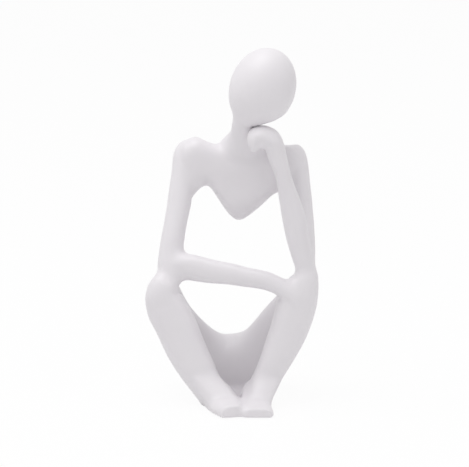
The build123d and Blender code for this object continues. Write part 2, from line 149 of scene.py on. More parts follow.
def deselect_all() -> None:
    """Deselect every object, because an operator acts on all that is selected."""
    if bpy.context.mode != "OBJECT":
        bpy.ops.object.mode_set(mode="OBJECT")
    bpy.ops.object.select_all(action="DESELECT")


def activate(*pieces: Piece) -> None:
    """Select these objects alone and make the first of them active.

    Args:
        pieces: the objects to select.
    """
    deselect_all()
    for piece in pieces:
        piece.select_set(True)
    bpy.context.view_layer.objects.active = pieces[0]


@contextmanager
def edit_mode(piece: Piece) -> Iterator[None]:
    """Hold one object in edit mode, all selected, for as long as the block runs.

    Args:
        piece: the object to edit.

    Yields:
        Nothing.
    """
    activate(piece)
    bpy.ops.object.mode_set(mode="EDIT")
    bpy.ops.mesh.select_all(action="SELECT")
    yield
    bpy.ops.object.mode_set(mode="OBJECT")


def rename(piece: Piece, name: str) -> Piece:
    """Name an object and its mesh alike, and return it."""
    piece.name = piece.data.name = name
    return piece


def duplicate(piece: Piece, name: str) -> Piece:
    """Copy an object with a mesh of its own.

    Args:
        piece: the object to copy.
        name: the copy's name.

    Returns:
        The copy, free of any parent, at the origin.
    """
    activate(piece)
    bpy.ops.object.duplicate()
    copy = bpy.context.view_layer.objects.active
    bpy.ops.object.parent_clear(type="CLEAR_KEEP_TRANSFORM")
    for key in [key for key in copy.keys() if key.startswith("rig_")]:
        del copy[key]
    copy.data.materials.clear()
    return rename(copy, name)


def merged_copy(node: str, name: str) -> Piece:
    """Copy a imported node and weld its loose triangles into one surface.

    Args:
        node: the node's name in the frame.
        name: the copy's name.

    Returns:
        The welded copy.
    """
    copy = duplicate(frame["nodes"][node], name)
    bpy.ops.mesh.customdata_custom_splitnormals_clear()
    for layer in list(copy.data.uv_layers):
        copy.data.uv_layers.remove(layer)
    with edit_mode(copy):
        bpy.ops.mesh.remove_doubles(threshold=WELD)
    return copy


def join(pieces: list[Piece], name: str) -> Piece:
    """Join objects into the first of them.

    Args:
        pieces: the objects to join.
        name: the joined object's name.

    Returns:
        The joined object.
    """
    activate(*pieces)
    bpy.ops.object.join()
    return rename(pieces[0], name)


def settled(name: str) -> Piece:
    """Put the place of the object just added into its mesh, and name it."""
    bpy.ops.object.transform_apply(location=True, rotation=True, scale=True)
    return rename(bpy.context.view_layer.objects.active, name)


def apply_modifier(piece: Piece, kind: str, **settings: object) -> None:
    """Add a modifier, set it up and apply it.

    Args:
        piece: the object to change.
        kind: the modifier's type.
        settings: the modifier's own settings.
    """
    activate(piece)
    bpy.ops.object.modifier_add(type=kind)
    modifier = piece.modifiers[-1]
    for key, value in settings.items():
        setattr(modifier, key, value)
    bpy.ops.object.modifier_apply(modifier=modifier.name)


def remove(piece: Piece) -> None:
    """Delete an object and its mesh.

    Args:
        piece: the object to delete.
    """
    mesh = piece.data
    bpy.data.objects.remove(piece)
    bpy.data.meshes.remove(mesh)


def loose_parts(piece: Piece) -> list[Piece]:
    """Separate an object into its loose parts.

    Args:
        piece: the object to separate.

    Returns:
        The parts, the one with the most vertices first.
    """
    with edit_mode(piece):
        bpy.ops.mesh.separate(type="LOOSE")
    parts = list(bpy.context.selected_objects)
    return sorted(parts, key=lambda part: -len(part.data.vertices))


def points_of(piece: Piece) -> np.ndarray:
    """Read a mesh's points.

    Args:
        piece: the object whose mesh is read.

    Returns:
        The points, as an array of point by axis.
    """
    places = np.zeros(len(piece.data.vertices) * 3, np.float32)
    piece.data.vertices.foreach_get("co", places)
    return places.reshape(-1, 3).astype(float)


def triangles(piece: Piece) -> np.ndarray:
    """Read a mesh as triangles.

    Args:
        piece: the object whose mesh is read.

    Returns:
        The corners, as an array of triangle by corner by axis.
    """
    mesh = piece.data
    mesh.calc_loop_triangles()
    corners = np.zeros(len(mesh.loop_triangles) * 3, np.int32)
    mesh.loop_triangles.foreach_get("vertices", corners)
    return points_of(piece)[corners.reshape(-1, 3)]


def eased(share: np.ndarray) -> np.ndarray:
    """Clip numbers to the range from 0 to 1 and ease them in and out of it."""
    share = np.clip(share, 0, 1)
    return share * share * (3 - 2 * share)


def flats(node: str, least_area: float = 2.0) -> list[Flat]:
    """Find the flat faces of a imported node.

    Args:
        node: the node's name.
        least_area: the smallest flat that counts, in square millimetres.

    Returns:
        The flats, the largest first.
    """
    tris = triangles(frame["nodes"][node])
    cross = np.cross(tris[:, 1] - tris[:, 0], tris[:, 2] - tris[:, 0])
    doubled = np.linalg.norm(cross, axis=1)
    keep = doubled > SPECK
    tris, cross, doubled = tris[keep], cross[keep], doubled[keep]
    normals = cross / doubled[:, None]
    offsets = (normals * tris[:, 0]).sum(axis=1)
    keys = np.column_stack([np.round(normals, 2), np.round(offsets / LEVEL)])
    place = np.unique(keys, axis=0, return_inverse=True)[1].ravel()
    areas = np.bincount(place, weights=doubled / 2)
    found = []
    for index in np.flatnonzero(areas > least_area * MM * MM):
        chosen = place == index
        share = doubled[chosen, None]
        middle = (tris[chosen].mean(axis=1) * share).sum(axis=0) / share.sum()
        normal = Vector((normals[chosen] * share).sum(axis=0)).normalized()
        spread = float(np.linalg.norm(tris[chosen] - middle, axis=2).max())
        found.append(Flat(Vector(middle), normal, spread, float(areas[index])))
    return sorted(found, key=lambda flat: -flat.area)


def seam_between(first: Casting, second: Casting) -> Flat:
    """Find the plane on which two castings meet flat to flat.

    Args:
        first: the casting that the seam's normal points out of.
        second: the casting that it points into.

    Returns:
        The seam, placed at the middle of the smaller of the two flats.
    """
    seams = []
    others = flats(second.value)
    for flat in flats(first.value):
        for other in others:
            opposed = flat.normal.dot(other.normal) < OPPOSED
            level = abs((other.middle - flat.middle).dot(flat.normal)) < LEVEL
            if opposed and level:
                smaller = flat if flat.area < other.area else other
                seams.append(Flat(smaller.middle, flat.normal, smaller.spread, smaller.area))
    if not seams:
        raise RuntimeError(f"{first.value} and {second.value} share no flat seam")
    return max(seams, key=lambda seam: seam.area)


def round_blade(point: Vector, axis: Vector, radius: float, depth: float) -> Piece:
    """Make a round cutter.

    Args:
        point: the cutter's middle.
        axis: the direction that it is square to.
        radius: its radius.
        depth: its thickness along the axis.

    Returns:
        The cutter, at the origin with its place in its mesh.
    """
    deselect_all()
    turn = axis.to_track_quat("Z", "Y").to_euler()
    bpy.ops.mesh.primitive_cylinder_add(
        vertices=BLADE_SIDES, radius=radius, depth=depth, location=point, rotation=turn
    )
    return settled("blade")


def bore_blade(node: str, clearance: float) -> Piece:
    """Make a cutter for the bore of a packed pin.

    Args:
        node: the pin's node.
        clearance: the room to leave around it.

    Returns:
        The cutter.
    """
    foot, head = flats(node, least_area=0.5)[:2]
    middle, span = (foot.middle + head.middle) / 2, head.middle - foot.middle
    depth = span.length + 2 * clearance
    return round_blade(middle, span.normalized(), foot.spread + clearance, depth)


def carve(piece: Piece, blade: Piece) -> None:
    """Take a cutter's shape out of a piece and throw the cutter away.

    Args:
        piece: the object to cut.
        blade: the closed cutter.
    """
    apply_modifier(piece, "BOOLEAN", operation="DIFFERENCE", object=blade, solver="MANIFOLD")
    remove(blade)


def cut_off(piece: Piece, seam: Flat, beyond: bool) -> None:
    """Cut an object at a seam, throw one side away and close the cut.

    Args:
        piece: the object to cut.
        seam: where to cut.
        beyond: True to throw away what lies beyond the seam, False for what lies before it.
    """
    with edit_mode(piece):
        bpy.ops.mesh.bisect(
            plane_co=seam.middle,
            plane_no=seam.normal,
            use_fill=True,
            clear_outer=beyond,
            clear_inner=not beyond,
        )


def halves(piece: Piece, seam: Flat) -> tuple[Piece, Piece]:
    """Cut an object in two at a seam.

    Args:
        piece: the object to cut.
        seam: where to cut.

    Returns:
        What lies before the seam and what lies beyond it, both closed.
    """
    carve(piece, round_blade(seam.middle, seam.normal, WIDE, THIN))
    before, after = [], []
    for part in loose_parts(piece):
        middle = Vector(points_of(part).mean(axis=0))
        side = after if (middle - seam.middle).dot(seam.normal) > 0 else before
        side.append(part)
    return join(before, "before"), join(after, "after")


def select_where(piece: Piece, kind: str, chosen: Callable[[Element], bool]) -> None:
    """Select those of an object's points or faces that pass a test.

    Args:
        piece: the object, in edit mode.
        kind: VERT or FACE.
        chosen: the test.
    """
    bpy.ops.mesh.select_mode(type=kind)
    bpy.ops.mesh.select_all(action="DESELECT")
    body = bmesh.from_edit_mesh(piece.data)
    for element in body.verts if kind == "VERT" else body.faces:
        element.select_set(chosen(element))
    body.select_flush_mode()
    bmesh.update_edit_mesh(piece.data)


def coat(piece: Piece, material: bpy.types.Material) -> None:
    """Give a piece one material all over."""
    piece.data.materials.clear()
    piece.data.materials.append(material)


def shade(piece: Piece, sharp: float) -> None:
    """Shade smooth all but the edges that turn by more than an angle."""
    activate(piece)
    bpy.ops.object.shade_smooth_by_angle(angle=sharp)


def report(piece: Piece) -> None:
    """Log a piece's name and size."""
    sides = " x ".join(f"{side / MM:.1f}" for side in piece.dimensions)
    log.info("%s: %s mm, %d points", piece.name, sides, len(piece.data.vertices))


class SkinField:
    """Numbers at the points of a skin, which spread along its edges.

    Attributes:
        skin: the object whose mesh is read.
        places: the skin's points.
        normals: the outward direction at each.
        RISE: how steeply nearness rises from the edge of a reach.
        STEPS: how many levels the weights have.
    """

    RISE = 1.6
    STEPS = 20

    def __init__(self, skin: Piece) -> None:
        """Read the skin's points, and its edges from both ends.

        Args:
            skin: the object whose mesh is read.
        """
        mesh = skin.data
        self.skin = skin
        self.places = points_of(skin)
        normals = np.zeros(len(mesh.vertices) * 3, np.float32)
        mesh.vertices.foreach_get("normal", normals)
        self.normals = normals.reshape(-1, 3).astype(float)
        ends = np.zeros(len(mesh.edges) * 2, np.int32)
        mesh.edges.foreach_get("vertices", ends)
        ends = ends.reshape(-1, 2)
        self.here = np.concatenate([ends[:, 0], ends[:, 1]])
        self.there = np.concatenate([ends[:, 1], ends[:, 0]])
        self.count = np.maximum(np.bincount(self.here, minlength=len(self.places)), 1)

    def average(self, values: np.ndarray) -> np.ndarray:
        """Average the numbers of each point's neighbours."""
        return np.bincount(self.here, values[self.there], len(values)) / self.count

    def blurred(self, values: np.ndarray, passes: int) -> np.ndarray:
        """Spread numbers along the skin.

        Args:
            values: a number at each point.
            passes: how many times to average.

        Returns:
            The softened numbers.
        """
        for _ in range(passes):
            values = (values + self.average(values)) / 2
        return values

    def hollowness(self) -> np.ndarray:
        """Measure how far each point lies below its neighbours, above 0 in hollows."""
        around = np.column_stack([self.average(axis) for axis in self.places.T])
        return ((around - self.places) * self.normals).sum(axis=1)

    def near(self, centre: Place, reach: float) -> np.ndarray:
        """Fade from 1 around a place to 0 at its reach, both in millimetres."""
        away = np.linalg.norm(self.places / MM - np.array(centre), axis=1) / reach
        return eased(self.RISE * (1 - away))

    def weigh(self, weights: np.ndarray) -> None:
        """Write weights into a vertex group, in even steps.

        Args:
            weights: the weight of each point, from 0 to 1.
        """
        group = self.skin.vertex_groups.new(name=HOLLOW)
        steps = np.round(weights * self.STEPS).astype(int)
        for step in range(1, self.STEPS + 1):
            group.add(np.flatnonzero(steps == step).tolist(), step / self.STEPS, "REPLACE")

    def store(self, values: np.ndarray) -> None:
        """Write a number at each point into the attribute that the paint reads."""
        attribute = self.skin.data.attributes.new(HOLLOW, "FLOAT", "POINT")
        attribute.data.foreach_set("value", values.astype(np.float32))


class Socket:
    """A shader value that takes part in plain sums, each of which adds its Math node.

    Attributes:
        home: the node tree that it belongs to.
        link: the node's output.
    """

    def __init__(self, home: "NodeTree", link: bpy.types.NodeSocket) -> None:
        """Wrap a node's output."""
        self.home = home
        self.link = link

    def _sum(self, operation: str, first: "Value", second: "Value") -> "Socket":
        """Add a Math node and return its result."""
        return self.home.node("ShaderNodeMath", {"operation": operation}, {0: first, 1: second})

    def __add__(self, other: "Value") -> "Socket":
        """Add."""
        return self._sum("ADD", self, other)

    def __radd__(self, other: float) -> "Socket":
        """Add to a number."""
        return self._sum("ADD", other, self)

    def __sub__(self, other: "Value") -> "Socket":
        """Subtract."""
        return self._sum("SUBTRACT", self, other)

    def __rsub__(self, other: float) -> "Socket":
        """Subtract from a number."""
        return self._sum("SUBTRACT", other, self)

    def __mul__(self, other: "Value") -> "Socket":
        """Multiply."""
        return self._sum("MULTIPLY", self, other)

    def __rmul__(self, other: float) -> "Socket":
        """Multiply a number."""
        return self._sum("MULTIPLY", other, self)


Value = float | Socket


class NodeTree:
    """A node tree whose nodes are all added by one method.

    Attributes:
        tree: the tree.
    """

    def __init__(self, tree: bpy.types.NodeTree) -> None:
        """Take a tree."""
        self.tree = tree

    def node(
        self,
        kind: str,
        settings: dict[str, object],
        values: dict[str | int, object],
        output: str | int = 0,
    ) -> Socket:
        """Add a node.

        Args:
            kind: the node's type.
            settings: its properties, set first.
            values: the values or links of its sockets.
            output: which of its outputs is wanted.

        Returns:
            That output.
        """
        node = self.tree.nodes.new(kind)
        for key, value in settings.items():
            setattr(node, key, value)
        for key, value in values.items():
            self.feed(node.inputs[key], value)
        return Socket(self, node.outputs[output])

    def feed(self, target: bpy.types.NodeSocket, value: object) -> None:
        """Link a socket or set it.

        Args:
            target: the input to feed.
            value: a wrapped output, a number or a colour.
        """
        if isinstance(value, Socket):
            self.tree.links.new(value.link, target)
        elif isinstance(value, tuple) and len(value) == 3 and target.type == "RGBA":
            target.default_value = (*value, 1)
        else:
            target.default_value = value

    def shows_background(self) -> Socket:
        """Tell the rays to which the background is plain white.

        Returns:
            1 or more for such a ray, 0 for one that lights the figure.
        """
        rays = ("Is Camera Ray", "Is Glossy Ray", "Is Transmission Ray")
        seen, glossy, through = (self.node("ShaderNodeLightPath", {}, {}, ray) for ray in rays)
        return seen + glossy + through


class Paint(NodeTree):
    """One node material while it is being mixed.

    Attributes:
        material: the material.
        shader: its Principled node.
        where: the place on the piece, in metres.
    """

    def __init__(self, name: str) -> None:
        """Start a material.

        Args:
            name: the material's name.
        """
        self.material = bpy.data.materials.new(name)
        self.material.use_nodes = True
        super().__init__(self.material.node_tree)
        self.shader = self.tree.nodes["Principled BSDF"]
        self.where = self.node("ShaderNodeTexCoord", {}, {}, "Object")

    def noise(self, size: float, detail: float) -> Socket:
        """Spread clouds of a width in metres, with so many finer layers, which swing about 0.5."""
        pattern = {"Vector": self.where, "Scale": 1 / size, "Detail": detail}
        return self.node("ShaderNodeTexNoise", {"noise_dimensions": "3D"}, pattern)

    def blend(self, share: Value, first: Colour | Socket, second: Colour | Socket) -> Socket:
        """Mix a share of the second colour into the first."""
        colours = {"Factor": share, 6: first, 7: second}
        return self.node("ShaderNodeMix", {"data_type": "RGBA"}, colours, 2)

    def rough_up(self, height: Socket, strength: float, depth: float) -> None:
        """Give the surface a fine relief of a depth in metres, of which a share shows."""
        relief = {"Height": height, "Strength": strength, "Distance": depth}
        self.feed(self.shader.inputs["Normal"], self.node("ShaderNodeBump", {}, relief))

    def set(self, **values: object) -> None:
        """Feed the shader's sockets, named with _ for a blank."""
        for key, value in values.items():
            self.feed(self.shader.inputs[key.replace("_", " ")], value)


@dataclass(frozen=True)
class PaintedResin:
    """Cast resin under a satin white paint that is a little thicker and glossier in the hollows,
    which are darkened with painted shade.

    Attributes:
        colour: the paint.
        shade: the paint where it lies a little thinner.
        hollow_shade: painted shade, the darker colour that the deepest hollows are given.
        hollow_shade_share: how much of the painted shade shows in the deepest hollow.
        thin_from: the cloud value at which the paint starts to be thinner.
        thin_gain: how fast it gets thinner from there.
        roughness: the paint's roughness.
        peel_swing: how far the orange peel moves the roughness.
        cloud_swing: how far the clouds move it.
        hollow_gloss: how much smoother the paint is in the deepest hollow.
        bend: the paint's index of refraction.
        cloud: the width of the faint clouds in the paint, in metres.
        grain: the width of its orange peel, in metres.
        wave: the width of the slow waves under the orange peel, in metres.
        peel_height: the orange peel's share of the relief.
        wave_height: the waves' share of it.
        relief: how much of the relief shows.
        depth: the relief's depth, in metres.
    """

    colour: Colour = (0.82, 0.798, 0.82)
    shade: Colour = (0.79, 0.765, 0.792)
    hollow_shade: Colour = (0.73, 0.7, 0.735)
    hollow_shade_share: float = 0.45
    thin_from: float = 0.35
    thin_gain: float = 1.6
    roughness: float = 0.44
    peel_swing: float = 0.16
    cloud_swing: float = 0.1
    hollow_gloss: float = 0.06
    bend: float = 1.46
    cloud: float = 14 * MM
    grain: float = 0.7 * MM
    wave: float = 2.8 * MM
    peel_height: float = 0.8
    wave_height: float = 0.6
    relief: float = 0.5
    depth: float = 0.012 * MM

    def make(self) -> bpy.types.Material:
        """Mix the finish.

        Returns:
            The material.
        """
        paint = Paint("painted_resin")
        clouds = paint.noise(self.cloud, 3)
        peel = paint.noise(self.grain, 2)
        hollow = paint.node("ShaderNodeAttribute", {"attribute_name": HOLLOW}, {}, "Fac")
        thin = (clouds - self.thin_from) * self.thin_gain
        coloured = paint.blend(thin, self.colour, self.shade)
        swings = (peel - 0.5) * self.peel_swing + (clouds - 0.5) * self.cloud_swing
        # Painted shade: the hollows are darkened towards a darker colour; their paint is also made
        # a little glossier.
        paint.set(
            Base_Color=paint.blend(hollow * self.hollow_shade_share, coloured, self.hollow_shade),
            Roughness=self.roughness + swings - hollow * self.hollow_gloss,
            IOR=self.bend,
        )
        height = peel * self.peel_height + paint.noise(self.wave, 2) * self.wave_height
        paint.rough_up(height, self.relief, self.depth)
        return paint.material


@dataclass(frozen=True)
class DrawnSteel:
    """Plain steel rod, drawn lengthwise.

    Attributes:
        colour: the bright metal.
        dull: the metal in the drawing marks.
        roughness: the metal's roughness.
        swing: how far the marks move the roughness.
        mark: the width of a drawing mark, in metres.
        cloud: the width of the patches that the marks come in, in metres.
        mark_gain: how strongly the marks dull the metal.
        relief: how much of the marks' relief shows.
        depth: the marks' depth, in metres.
    """

    colour: Colour = (0.56, 0.56, 0.57)
    dull: Colour = (0.42, 0.42, 0.43)
    roughness: float = 0.3
    swing: float = 0.3
    mark: float = 0.25 * MM
    cloud: float = 3 * MM
    mark_gain: float = 2.0
    relief: float = 0.4
    depth: float = 0.01 * MM

    def make(self) -> bpy.types.Material:
        """Mix the finish.

        Returns:
            The material.
        """
        paint = Paint("drawn_steel")
        marks = paint.noise(self.mark, 4)
        clouds = paint.noise(self.cloud, 2)
        paint.set(
            Base_Color=paint.blend(marks * clouds * self.mark_gain, self.colour, self.dull),
            Roughness=self.roughness + (marks - 0.5) * self.swing,
            Metallic=1.0,
        )
        paint.rough_up(marks, self.relief, self.depth)
        return paint.material


@dataclass(frozen=True)
class FoamRubber:
    """Fine-pored foam rubber for anti-slip pads, with painted shade down in its pores.

    Attributes:
        colour: the rubber.
        pore_shade: painted shade down in the pores.
        roughness: the rubber's roughness.
        swing: how far the clouds move the roughness.
        pore: the width of a pore, in metres.
        pore_gain: how steeply a pore falls away from its middle.
        cloud: the width of the patches of darker pores, in metres.
        relief: how much of the pores' relief shows.
        depth: the pores' depth, in metres.
    """

    colour: Colour = (0.36, 0.36, 0.37)
    pore_shade: Colour = (0.2, 0.2, 0.21)
    roughness: float = 0.88
    swing: float = 0.1
    pore: float = 0.35 * MM
    pore_gain: float = 1.4
    cloud: float = 3.5 * MM
    relief: float = 0.6
    depth: float = 0.04 * MM

    def make(self) -> bpy.types.Material:
        """Mix the finish.

        Returns:
            The material.
        """
        paint = Paint("foam_rubber")
        cells = {"Vector": paint.where, "Scale": 1 / self.pore}
        pores = paint.node("ShaderNodeTexVoronoi", {"feature": "F1"}, cells, "Distance")
        clouds = paint.noise(self.cloud, 2)
        # Painted shade: each pore is darkened towards its middle, more strongly in some patches.
        deep = 1 - pores * self.pore_gain
        paint.set(
            Base_Color=paint.blend(deep * clouds, self.colour, self.pore_shade),
            Roughness=self.roughness + (clouds - 0.5) * self.swing,
        )
        paint.rough_up(pores, self.relief, self.depth)
        return paint.material


@dataclass(frozen=True)
class PaleFloor:
    """A matt white floor that the camera sees as near white, with the figure's soft shadow on it.

    Attributes:
        colour: the floor's own colour.
        roughness: its roughness.
        glow: how much of what the camera sees is plain white.
    """

    colour: Colour = (0.92, 0.92, 0.92)
    roughness: float = 0.9
    glow: float = 0.94

    def make(self) -> bpy.types.Material:
        """Mix the finish.

        Returns:
            The material.
        """
        paint = Paint("pale_floor")
        paint.set(Base_Color=self.colour, Roughness=self.roughness)
        seen = paint.shows_background()
        white = paint.node("ShaderNodeEmission", {}, {"Color": (1.0, 1.0, 1.0), "Strength": 1.0})
        lit = Socket(paint, paint.shader.outputs[0])
        mixed = paint.node("ShaderNodeMixShader", {}, {0: seen * self.glow, 1: lit, 2: white})
        paint.feed(paint.tree.nodes["Material Output"].inputs["Surface"], mixed)
        return paint.material


@dataclass(frozen=True)
class Spot:
    """A place that is rounded more than the rest, or that keeps its crease.

    Attributes:
        centre: its middle, in millimetres.
        reach: how far it spreads, in millimetres.
        weight: how strong it is at the middle, from 0 to 1.
    """

    centre: Place
    reach: float
    weight: float = 1.0


@dataclass(frozen=True)
class Web:
    """A flush fill between two limbs that grow together.

    Attributes:
        castings: the limbs' castings.
        low: the fill's lowest corner, in millimetres.
        high: its highest corner, in millimetres.
    """

    castings: tuple[Casting, ...]
    low: Place
    high: Place


@dataclass(frozen=True)
class Slit:
    """A cut through the skin at a glue seam, no wider than the limb there.

    Attributes:
        first: the casting on one side.
        second: the casting on the other.
        spare: how far the cut runs past the joint face, in metres.
    """

    first: Casting
    second: Casting
    spare: float = 3.0 * MM


@dataclass
class Figure:
    """The resin figure: drawn over as a whole, rounded out, and cut into its castings again.

    Attributes:
        pitch: the skin's grid, in metres.
        polish: how many passes take the grid's steps off the skin.
        last_polish: how many passes finish it.
        passes: how many passes round out the hollows.
        spot_passes: how many passes round out the soft spots.
        softness: how far a point moves towards its neighbours in a pass, from 0 to 1.
        spread: how many passes spread the hollows' map.
        shallow: the depth from which a point lies in a hollow.
        deep: the depth from which it counts in full.
        fullness: how much stronger the map is made once it is spread.
        shade_gloss_depth: the depth from which a hollow gets its full painted shade and its
            smoother paint.
        clearance: the room around a pin in its bore.
        fist_foot: the height from which the forearm leans away from the head.
        fist_top: the height from which it has moved in full.
        fist_nudge: how far the fist moves while the skin is drawn.
        fist_back: how far it then moves back.
        voters: about how many points of a part say which casting it lies on.
        resin: the finish.
        creases: where two forms only touch, so that nothing is rounded out.
        crease_hold: the share of a crease's reach that holds off the soft spots.
        soft_spots: where more is rounded out.
        webs: the hollows that are filled flush before the skin is drawn.
        slits: the seams that are cut across one limb each.
    """

    pitch: float = 0.35 * MM
    polish: int = 8
    last_polish: int = 2
    passes: int = 70
    spot_passes: int = 160
    softness: float = 0.5
    spread: int = 50
    shallow: float = 0.004 * MM
    deep: float = 0.02 * MM
    fullness: float = 5.0
    shade_gloss_depth: float = 0.007 * MM
    clearance: float = 0.1 * MM
    fist_foot: float = 92.0 * MM
    fist_top: float = 98.0 * MM
    fist_nudge: Place = (0.5 * MM, -0.8 * MM, -0.7 * MM)
    fist_back: Place = (-0.4 * MM, 0.5 * MM, 1.1 * MM)
    voters: int = 300
    resin: PaintedResin = PaintedResin()
    creases: tuple[Spot, ...] = (Spot((10.5, -11, 101), 6.5),)
    crease_hold: float = 0.8
    soft_spots: tuple[Spot, ...] = (
        Spot((18.5, -6, 105), 7),
        Spot((14, 0, 104), 6),
        Spot((2, -8, 104), 7),
        Spot((0, 1, 90), 8, 0.8),
        Spot((6, 3, 90), 7, 0.8),
        Spot((-14.5, 0, 80), 8),
        Spot((-15, 7, 78), 7),
        Spot((17, 6, 77), 7),
        Spot((-18, -6.5, 56), 6),
        Spot((-18, -9, 47), 6),
        Spot((-24, -9.5, 48), 6, 0.7),
        Spot((19, -12, 46), 7),
        Spot((25, -13, 43), 7),
        Spot((27, -8, 50), 8),
        Spot((21, -6, 48), 6),
        Spot((27.5, -5, 62), 7),
        Spot((-7, -13.5, 8), 8),
        Spot((-13, -11, 6), 6, 0.7),
        Spot((10, -13.5, 8), 8),
        Spot((17, -11, 7), 6, 0.7),
        Spot((6, -11, 10.5), 6),
        Spot((-4.5, -11, 11), 6),
    )
    webs: tuple[Web, ...] = (
        Web((Casting.LEFT_UPPER_ARM, Casting.LEFT_FOREARM), (15, -20, 49), (35, 10, 57)),
        Web((Casting.SEAT, Casting.RIGHT_LEG, Casting.LEFT_LEG), (-4, -8, 0.4), (8, 9, 2.2)),
        Web((Casting.RIGHT_LEG,), (-14, -18.5, 3.5), (1.5, -9, 12.5)),
        Web((Casting.LEFT_LEG,), (6.5, -18.5, 3.5), (20, -9, 11.5)),
    )
    slits: tuple[Slit, ...] = (
        Slit(Casting.TORSO, Casting.HEAD),
        Slit(Casting.TORSO, Casting.RIGHT_ARM),
        Slit(Casting.TORSO, Casting.LEFT_UPPER_ARM, 2.0 * MM),
        Slit(Casting.RIGHT_ARM, Casting.RIGHT_LEG),
        Slit(Casting.RIGHT_ARM, Casting.LEFT_LEG, 2.0 * MM),
        Slit(Casting.LEFT_UPPER_ARM, Casting.LEFT_LEG, 6.0 * MM),
    )

    def shift_fist(self, arm: Piece, shift: Place) -> None:
        """Move the fist off the chin, so that the skin doesn't bridge them, or back.

        Args:
            arm: the left forearm with its fist.
            shift: how far the fist moves.
        """
        places = points_of(arm)
        share = eased((places[:, 2] - self.fist_foot) / (self.fist_top - self.fist_foot))
        places += share[:, None] * np.array(shift)
        arm.data.vertices.foreach_set("co", places.astype(np.float32).ravel())
        arm.data.update()

    def draw_over(self) -> Piece:
        """Join copies of the castings and draw one closed skin over them.

        Returns:
            The skin's outer shell.
        """
        copies = {
            casting: merged_copy(casting.value, casting.value + "_copy") for casting in Casting
        }
        webs = [self.fill_between(web, copies) for web in self.webs]
        self.shift_fist(copies[Casting.LEFT_FOREARM], self.fist_nudge)
        return self.regrid(join([*copies.values(), *webs], "skin"))

    def fill_between(self, web: Web, copies: dict[Casting, Piece]) -> Piece:
        """Fill the hollow between two limbs flush with both.

        Args:
            web: where to fill.
            copies: the castings' copies.

        Returns:
            The fill.
        """
        low, high = Vector(web.low) * MM, Vector(web.high) * MM
        ends = []
        for casting in web.castings:
            end = duplicate(copies[casting], "web")
            for axis in AXES:
                cut_off(end, Flat(low, axis), beyond=False)
                cut_off(end, Flat(high, axis), beyond=True)
            ends.append(end)
        fill = join(ends, "web")
        with edit_mode(fill):
            bpy.ops.mesh.convex_hull()
        return fill

    def regrid(self, skin: Piece) -> Piece:
        """Draw one closed skin of even small faces over a body.

        Args:
            skin: the body.

        Returns:
            Its outer shell.
        """
        skin.data.remesh_voxel_size = self.pitch
        activate(skin)
        bpy.ops.object.voxel_remesh()
        parts = loose_parts(skin)
        for bubble in parts[1:]:
            remove(bubble)
        return rename(parts[0], "skin")

    def round_out(self, skin: Piece) -> Piece:
        """Take the grid's steps off the whole skin and round out its hollows.

        Args:
            skin: the skin.

        Returns:
            The finished skin.
        """
        self.polish_and_soften(skin)
        skin = self.regrid(skin)
        self.polish_and_soften(skin)
        self.soften(skin, self.spots_on(skin), self.spot_passes)
        apply_modifier(skin, "SMOOTH", factor=self.softness, iterations=self.last_polish)
        field = SkinField(skin)
        depth = field.blurred(field.hollowness(), self.spread)
        # The hollows' depth is stored for the paint, which darkens them with painted shade and
        # makes them glossier.
        field.store(np.clip(depth / self.shade_gloss_depth, 0, 1))
        return skin

    def polish_and_soften(self, skin: Piece) -> None:
        """Take the grid's steps off the skin and soften its hollows."""
        apply_modifier(skin, "SMOOTH", factor=self.softness, iterations=self.polish)
        self.soften(skin, self.hollows_of(skin), self.passes)

    def hollows_of(self, skin: Piece) -> np.ndarray:
        """Weigh the skin's hollows.

        Args:
            skin: the skin.

        Returns:
            A weight at each point, 0 at the creases that stay.
        """
        field = SkinField(skin)
        depth = (field.hollowness() - self.shallow) / (self.deep - self.shallow)
        spread = field.blurred(np.clip(depth, 0, 1), self.spread)
        weights = np.clip(spread * self.fullness, 0, 1)
        for crease in self.creases:
            weights = weights * (1 - field.near(crease.centre, crease.reach))
        return weights

    def spots_on(self, skin: Piece) -> np.ndarray:
        """Weigh the skin at the soft spots.

        Args:
            skin: the skin.

        Returns:
            A weight at each point, 0 at the creases that stay.
        """
        field = SkinField(skin)
        weights = np.zeros(len(field.places))
        for spot in self.soft_spots:
            weights = np.maximum(weights, spot.weight * field.near(spot.centre, spot.reach))
        for crease in self.creases:
            weights = weights * (1 - field.near(crease.centre, crease.reach * self.crease_hold))
        return weights

    def soften(self, skin: Piece, weights: np.ndarray, passes: int) -> None:
        """Soften the skin where it is weighed.

        Args:
            skin: the skin.
            weights: a weight at each point.
            passes: how many times to soften.
        """
        SkinField(skin).weigh(weights)
        share = {"factor": self.softness, "vertex_group": HOLLOW}
        apply_modifier(skin, "SMOOTH", iterations=passes, **share)
        skin.vertex_groups.clear()

    def build(self) -> list[Piece]:
        """Draw the figure, cut it into its castings, bore them and dress them.

        Returns:
            The castings.
        """
        cast = self.cut_apart(self.round_out(self.draw_over()))
        material = self.resin.make()
        for casting, piece in cast.items():
            rename(piece, casting.value + "_cast")
            self.bore(piece, casting)
            shade(piece, RIM_ANGLE)
            coat(piece, material)
            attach(piece, BODY)
            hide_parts(casting.value)
        return list(cast.values())

    def bore(self, piece: Piece, casting: Casting) -> None:
        """Bore a casting for the pins that it holds."""
        for pin in PIN_HOLDERS[casting]:
            carve(piece, bore_blade(pin, self.clearance))

    def owners(self) -> dict[Casting, BVHTree]:
        """Make a search tree of each packed casting.

        Returns:
            The trees, by casting.
        """
        trees = {}
        for casting in Casting:
            node = frame["nodes"][casting.value]
            corners = triangles(node).reshape(-1, 3)
            faces = np.arange(len(corners)).reshape(-1, 3)
            trees[casting] = BVHTree.FromPolygons(corners.tolist(), faces.tolist())
        return trees

